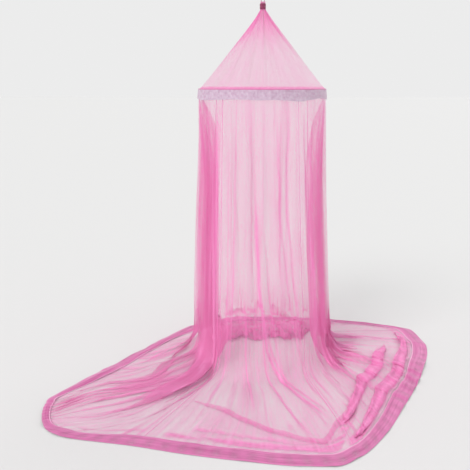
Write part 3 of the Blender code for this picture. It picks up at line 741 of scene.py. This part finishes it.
def make_valance(material):
    angle = 2 * np.pi * np.arange(FRILL_COLUMNS)[:, None] / FRILL_COLUMNS
    t = np.linspace(0.0, 1.0, FRILL_ROWS)[None, :]
    around = angle * FRILL_RADIUS
    sway = noise(around / 0.020, t * 0.7 + 3)
    scallop = 0.0016 * np.abs(np.sin(np.pi * around / 0.012))
    radius = FRILL_RADIUS + 0.004 * t + 0.0026 * sway * t + 0.0008 * noise(around / 0.008, t * 2)
    uneven = 0.0030 * np.sin(5 * angle + 0.6) + 0.0045 * noise(around / 0.07, 0.0) - scallop
    drop = FRILL_DEPTH * t + t * uneven
    height = HOOP_HEIGHT + FRILL_TOP - drop + FLOOR_Z
    points = np.stack([radius * np.cos(angle), radius * np.sin(angle), height], axis=2)
    fabric = np.stack([np.broadcast_to(around, drop.shape), drop], axis=2)
    obj = new_piece("valance_lace", points, True, fabric, np.broadcast_to(t, drop.shape), drop)
    return finish_piece(obj, "valance", material)


# ---- materials

# Half of one step of a six-sided mesh, across and along, as shares of the cell.
HEXAGON = (0.5, 0.8660254)


class Nodes:
    """A material's node tree, with short calls for the nodes used here."""

    def __init__(self, name):
        self.material = bpy.data.materials.new(name)
        self.material.use_nodes = True
        self.tree = self.material.node_tree
        self.shader = self.tree.nodes["Principled BSDF"]

    def add(self, kind, **settings):
        node = self.tree.nodes.new(kind)
        for key, value in settings.items():
            setattr(node, key, value)
        return node

    def put(self, socket, value):
        if isinstance(value, bpy.types.NodeSocket):
            self.tree.links.new(value, socket)
        else:
            socket.default_value = value

    def math(self, operation, a, b=0.0, c=0.0):
        node = self.add("ShaderNodeMath", operation=operation)
        for socket, value in zip(node.inputs, (a, b, c)):
            self.put(socket, value)
        return node.outputs[0]

    def vector(self, operation, a, b=(0, 0, 0), c=None):
        node = self.add("ShaderNodeVectorMath", operation=operation)
        self.put(node.inputs[0], a)
        self.put(node.inputs[1], b)
        if c is not None:
            self.put(node.inputs[2], c)
        return node.outputs["Value"] if operation in ("DOT_PRODUCT", "LENGTH") else node.outputs[0]

    def scaled(self, source, scale):
        return self.vector("MULTIPLY", source, scale)

    def noise(self, source, scale, detail):
        node = self.add("ShaderNodeTexNoise")
        self.put(node.inputs["Vector"], self.scaled(source, scale))
        node.inputs["Scale"].default_value = 1.0
        node.inputs["Detail"].default_value = detail
        return node.outputs[0]

    def ramp(self, value, low, high, to_low=0.0, to_high=1.0):
        node = self.add("ShaderNodeMapRange")
        for socket, item in zip(node.inputs, (value, low, high, to_low, to_high)):
            self.put(socket, item)
        return node.outputs[0]

    def mix(self, factor, a, b):
        node = self.add("ShaderNodeMix", data_type="RGBA")
        self.put(node.inputs[0], factor)
        self.put(node.inputs[6], a)
        self.put(node.inputs[7], b)
        return node.outputs[2]

    def attribute(self, name):
        return self.add("ShaderNodeAttribute", attribute_name=name).outputs["Fac"]

    def fabric(self):
        return self.add("ShaderNodeUVMap", uv_map="fabric").outputs[0]

    def cloth(self, colour, cover, roughness, sheen):
        self.put(self.shader.inputs["Base Color"], colour)
        self.put(self.shader.inputs["Alpha"], cover)
        self.shader.inputs["Roughness"].default_value = roughness
        self.shader.inputs["Sheen Weight"].default_value = sheen

    def bump(self, height, distance, strength):
        node = self.add("ShaderNodeBump")
        node.inputs["Strength"].default_value = strength
        node.inputs["Distance"].default_value = distance
        self.put(node.inputs["Height"], height)
        self.tree.links.new(node.outputs[0], self.shader.inputs["Normal"])

    def hexagons(self, source, cell):
        """Distance from the nearest wall of a six-sided mesh, as a share of the cell, from 0 to 0.5."""
        place = self.scaled(source, (1 / cell, 1 / cell, 0.0))
        half = (*HEXAGON, 1.0)
        less = (-HEXAGON[0], -HEXAGON[1], -1.0)
        a = self.vector("WRAP", place, half, less)
        b = self.vector("WRAP", self.vector("ADD", place, (*HEXAGON, 0.0)), half, less)
        closer = self.math("LESS_THAN", self.vector("LENGTH", a), self.vector("LENGTH", b))
        node = self.add("ShaderNodeMix", data_type="VECTOR")
        self.put(node.inputs[0], closer)
        self.put(node.inputs[4], b)
        self.put(node.inputs[5], a)
        inside = self.vector("ABSOLUTE", node.outputs[1])
        reach = self.math("MAXIMUM", self.vector("DOT_PRODUCT", inside, (1.0, 0.0, 0.0)),
                          self.vector("DOT_PRODUCT", inside, (*HEXAGON, 0.0)))
        return self.math("SUBTRACT", 0.5, reach)


NET_CELL = 0.0022
THREAD = 0.068
SEAM_WIDTH = 0.0022
# The net's own pink, in a darker and a lighter tone: painted shade and painted light of its folds.
NET_SHADED_PINK, NET_LIT_PINK = (0.83, 0.18, 0.47, 1.0), (0.90, 0.33, 0.62, 1.0)
SHEEN_PINK = (1.0, 0.72, 0.88, 1.0)
# The border's pinks: the deeper pink of its doubled net, darkened further as painted shade.
BORDER_SHADED_DEEP, BORDER_SHADED_PALE = (0.50, 0.095, 0.28, 1.0), (0.68, 0.20, 0.43, 1.0)
STITCH_PINK = (0.95, 0.62, 0.80, 1.0)
STITCH_INSET, STITCH_REACH = 0.0042, 0.0013
RIM_START = 0.0800
LACE_CELL, LACE_FINE_CELL = 0.0052, 0.0016
LACE_DEEP, LACE_PALE = (0.56, 0.39, 0.53, 1.0), (0.66, 0.51, 0.63, 1.0)
HEADING_PINK = (0.62, 0.17, 0.38, 1.0)
HEADING_DEPTH = 0.0032
WIRE_DEEP, WIRE_PALE = (0.72, 0.32, 0.50, 1.0), (0.86, 0.50, 0.66, 1.0)
TAPE_DEEP, TAPE_PALE = (0.16, 0.012, 0.05, 1.0), (0.46, 0.06, 0.19, 1.0)


def net_material(name, seam):
    """Six-sided net: open cells with threads between, closer where the cloth is creased, its pink streaked
    with painted light and shade.
    """
    n = Nodes(name)
    fabric = n.fabric()
    wall = n.hexagons(fabric, NET_CELL)
    closeness = n.attribute("closeness")
    streaks = n.noise(fabric, (95.0, 1.6, 1.0), 3.0)
    cloud = n.noise(fabric, (7.0, 2.2, 1.0), 2.0)
    half = n.math("MULTIPLY_ADD", closeness, 0.16, THREAD)
    half = n.math("MULTIPLY_ADD", n.math("SUBTRACT", streaks, 0.5), 0.16, half)
    half = n.math("MULTIPLY_ADD", n.math("SUBTRACT", cloud, 0.5), 0.06, half)
    cover = n.math("LESS_THAN", wall, half)
    # Lighter and darker streaks down the cloth: painted light and shade of the folds, not the net's own
    # colour.
    painted_light_tone = n.ramp(streaks, 0.30, 0.72)
    colour = n.mix(painted_light_tone, NET_SHADED_PINK, NET_LIT_PINK)
    if seam:
        edge = n.attribute("edge")
        sewn = n.math("LESS_THAN", edge, SEAM_WIDTH)
        cover = n.math("MAXIMUM", cover, n.math("MULTIPLY", sewn, 0.55))
    n.cloth(colour, cover, 0.62, 0.35)
    n.shader.inputs["Sheen Roughness"].default_value = 0.4
    n.shader.inputs["Sheen Tint"].default_value = SHEEN_PINK
    n.bump(wall, 0.0004, 0.3)
    return n.material


def border_material():
    """Net doubled into a dense band, its pink darkened with painted shade, with a bright line of stitches
    beside its inner edge.
    """
    n = Nodes("border_band")
    fabric = n.fabric()
    wall = n.hexagons(fabric, NET_CELL)
    shifted = n.vector("ADD", n.scaled(fabric, (1.03, 0.98, 1.0)), (0.0007, 0.0011, 0.0))
    second = n.hexagons(shifted, NET_CELL)
    closeness = n.attribute("closeness")
    out = n.attribute("edge")
    streaks = n.noise(fabric, (3.0, 120.0, 1.0), 3.0)
    half = n.math("MULTIPLY_ADD", closeness, 0.06, 0.205)
    half = n.math("MULTIPLY_ADD", n.math("SUBTRACT", streaks, 0.5), 0.16, half)
    cover = n.math("LESS_THAN", n.math("MINIMUM", wall, second), half)
    away = n.math("ABSOLUTE", n.math("SUBTRACT", out, STITCH_INSET))
    line = n.math("LESS_THAN", away, STITCH_REACH)
    rim = n.math("MULTIPLY", n.math("GREATER_THAN", out, RIM_START), 0.8)
    cover = n.math("MAXIMUM", n.math("MAXIMUM", cover, n.math("MULTIPLY", line, 0.9)), rim)
    # The border's streaked colour, darker than its own pink as painted shade.
    colour = n.mix(n.ramp(streaks, 0.3, 0.7), BORDER_SHADED_DEEP, BORDER_SHADED_PALE)
    colour = n.mix(line, colour, STITCH_PINK)
    n.cloth(colour, cover, 0.62, 0.35)
    n.shader.inputs["Sheen Tint"].default_value = SHEEN_PINK
    n.bump(n.math("ADD", streaks, n.math("MULTIPLY", line, 0.6)), 0.0010, 0.5)
    return n.material


def lace_material():
    """Pale lace: small round holes in rows, a dense edge, and a narrow pink heading."""
    n = Nodes("frill_lace")
    fabric = n.fabric()
    drop = n.attribute("edge")
    share = n.attribute("closeness")
    holes = n.hexagons(fabric, LACE_CELL)
    fine = n.hexagons(fabric, LACE_FINE_CELL)
    motif = n.noise(fabric, (70.0, 70.0, 1.0), 1.0)
    solid = n.math("LESS_THAN", holes, n.ramp(motif, 0.35, 0.65, 0.20, 0.42))
    cover = n.math("MAXIMUM", solid, n.math("MULTIPLY", n.math("LESS_THAN", fine, 0.17), 0.8))
    rim = n.math("GREATER_THAN", share, 0.90)
    head = n.math("LESS_THAN", drop, HEADING_DEPTH)
    cover = n.math("MAXIMUM", cover, n.math("MAXIMUM", rim, head))
    colour = n.mix(n.ramp(motif, 0.3, 0.7), LACE_DEEP, LACE_PALE)
    colour = n.mix(head, colour, HEADING_PINK)
    n.cloth(colour, cover, 0.7, 0.3)
    n.bump(n.math("ADD", solid, n.math("MULTIPLY", motif, 0.8)), 0.0012, 0.6)
    return n.material


def wire_material():
    n = Nodes("coated_wire")
    place = n.add("ShaderNodeTexCoord").outputs["Object"]
    mottle = n.noise(place, (60.0, 60.0, 60.0), 3.0)
    n.put(n.shader.inputs["Base Color"], n.mix(mottle, WIRE_DEEP, WIRE_PALE))
    n.put(n.shader.inputs["Roughness"], n.ramp(mottle, 0.3, 0.7, 0.28, 0.42))
    n.bump(mottle, 0.0003, 0.2)
    return n.material


def tape_material():
    """Woven tape: close ribs across, with a fine twill along them."""
    n = Nodes("woven_tape")
    place = n.add("ShaderNodeTexCoord").outputs["Object"]
    wave = n.add("ShaderNodeTexWave", wave_type="BANDS", bands_direction="Z")
    n.put(wave.inputs["Vector"], place)
    wave.inputs["Scale"].default_value = 210.0
    wave.inputs["Distortion"].default_value = 0.6
    twill = n.add("ShaderNodeTexWave", wave_type="BANDS", bands_direction="DIAGONAL")
    n.put(twill.inputs["Vector"], place)
    twill.inputs["Scale"].default_value = 330.0
    weave = n.math("MULTIPLY", wave.outputs["Fac"], n.math("MULTIPLY_ADD", twill.outputs["Fac"], 0.5, 0.5))
    n.put(n.shader.inputs["Base Color"], n.mix(weave, TAPE_DEEP, TAPE_PALE))
    n.put(n.shader.inputs["Roughness"], n.ramp(weave, 0.0, 1.0, 0.85, 0.6))
    n.shader.inputs["Sheen Weight"].default_value = 0.3
    n.bump(weave, 0.0006, 0.7)
    return n.material


net = net_material("pink_net", seam=True)
crown_net = net_material("crown_net", seam=False)

for gore_name, gore_row in GORES.items():
    cloth = make_gore(gore_name, gore_row, net)
border = make_border(border_material())
crown = make_crown(crown_net)
valance = make_valance(lace_material())

wire, tape = wire_material(), tape_material()
for node_name, finish_material in (("hoop", wire), ("crown_tie", tape), ("hanging_loop", tape)):
    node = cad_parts[node_name]
    node.data.materials.clear()
    node.data.materials.append(finish_material)


# ---- floor, light and camera

def plain_material(name, colour, roughness):
    n = Nodes(name)
    n.shader.inputs["Base Color"].default_value = (*colour, 1.0)
    n.shader.inputs["Roughness"].default_value = roughness
    return n.material


FLOOR_HALF = 80.0
FLOOR_GAP = 0.0005
FLOOR_COLOUR = (0.668, 0.667, 0.664)


def make_floor():
    mesh = bpy.data.meshes.new("floor")
    half = FLOOR_HALF
    z = FLOOR_Z - FLOOR_GAP
    corners = [(-half, -half, z), (half, -half, z), (half, half, z), (-half, half, z)]
    mesh.from_pydata(corners, [], [(0, 1, 2, 3)])
    floor = bpy.data.objects.new("floor", mesh)
    bpy.context.scene.collection.objects.link(floor)
    mesh.materials.append(plain_material("pale_floor", FLOOR_COLOUR, 0.9))


def aim(obj, at, target):
    obj.location = at
    obj.rotation_euler = (Vector(target) - Vector(at)).to_track_quat("-Z", "Y").to_euler()


Sun = namedtuple("Sun", "name at strength spread")
SUNS = (
    Sun("key", (-2.0, -2.6, 3.0), 1.35, 28.0),
    Sun("back", (1.6, 2.4, 2.2), 0.55, 40.0),
)
WORLD_WHITE = (1.0, 1.0, 1.0, 1.0)
WORLD_STRENGTH = 0.84
SEEN_LAYERS = 48


def make_sun(sun):
    """A broad soft light from one direction, even over the whole floor."""
    data = bpy.data.lights.new(sun.name, "SUN")
    data.angle = math.radians(sun.spread)
    data.energy = sun.strength
    lamp = bpy.data.objects.new(sun.name, data)
    bpy.context.scene.collection.objects.link(lamp)
    aim(lamp, sun.at, (0.0, 0.0, 0.0))


def make_world():
    world = bpy.data.worlds.new("studio")
    world.use_nodes = True
    shade = world.node_tree.nodes["Background"]
    shade.inputs["Color"].default_value = WORLD_WHITE
    shade.inputs["Strength"].default_value = WORLD_STRENGTH
    bpy.context.scene.world = world


CAMERA_DISTANCE = 3.210
CAMERA_HEIGHT = 1.470
CAMERA_PITCH = 13.99
CAMERA_YAW = 2.50
SENSOR_MM = 36.0
LENS_MM = 45.957447


def make_camera():
    data = bpy.data.cameras.new("camera")
    data.sensor_width = SENSOR_MM
    data.lens = LENS_MM
    camera = bpy.data.objects.new("camera", data)
    camera.location = (0.0, -CAMERA_DISTANCE, FLOOR_Z + CAMERA_HEIGHT)
    camera.rotation_euler = (math.radians(90.0 - CAMERA_PITCH), 0.0, math.radians(CAMERA_YAW))
    bpy.context.scene.collection.objects.link(camera)
    bpy.context.scene.camera = camera


make_floor()
make_world()
for sun_row in SUNS:
    make_sun(sun_row)
make_camera()
bpy.context.scene.view_settings.view_transform = "Standard"
# The net's layers lie behind each other many times over.
bpy.context.scene.cycles.transparent_max_bounces = SEEN_LAYERS
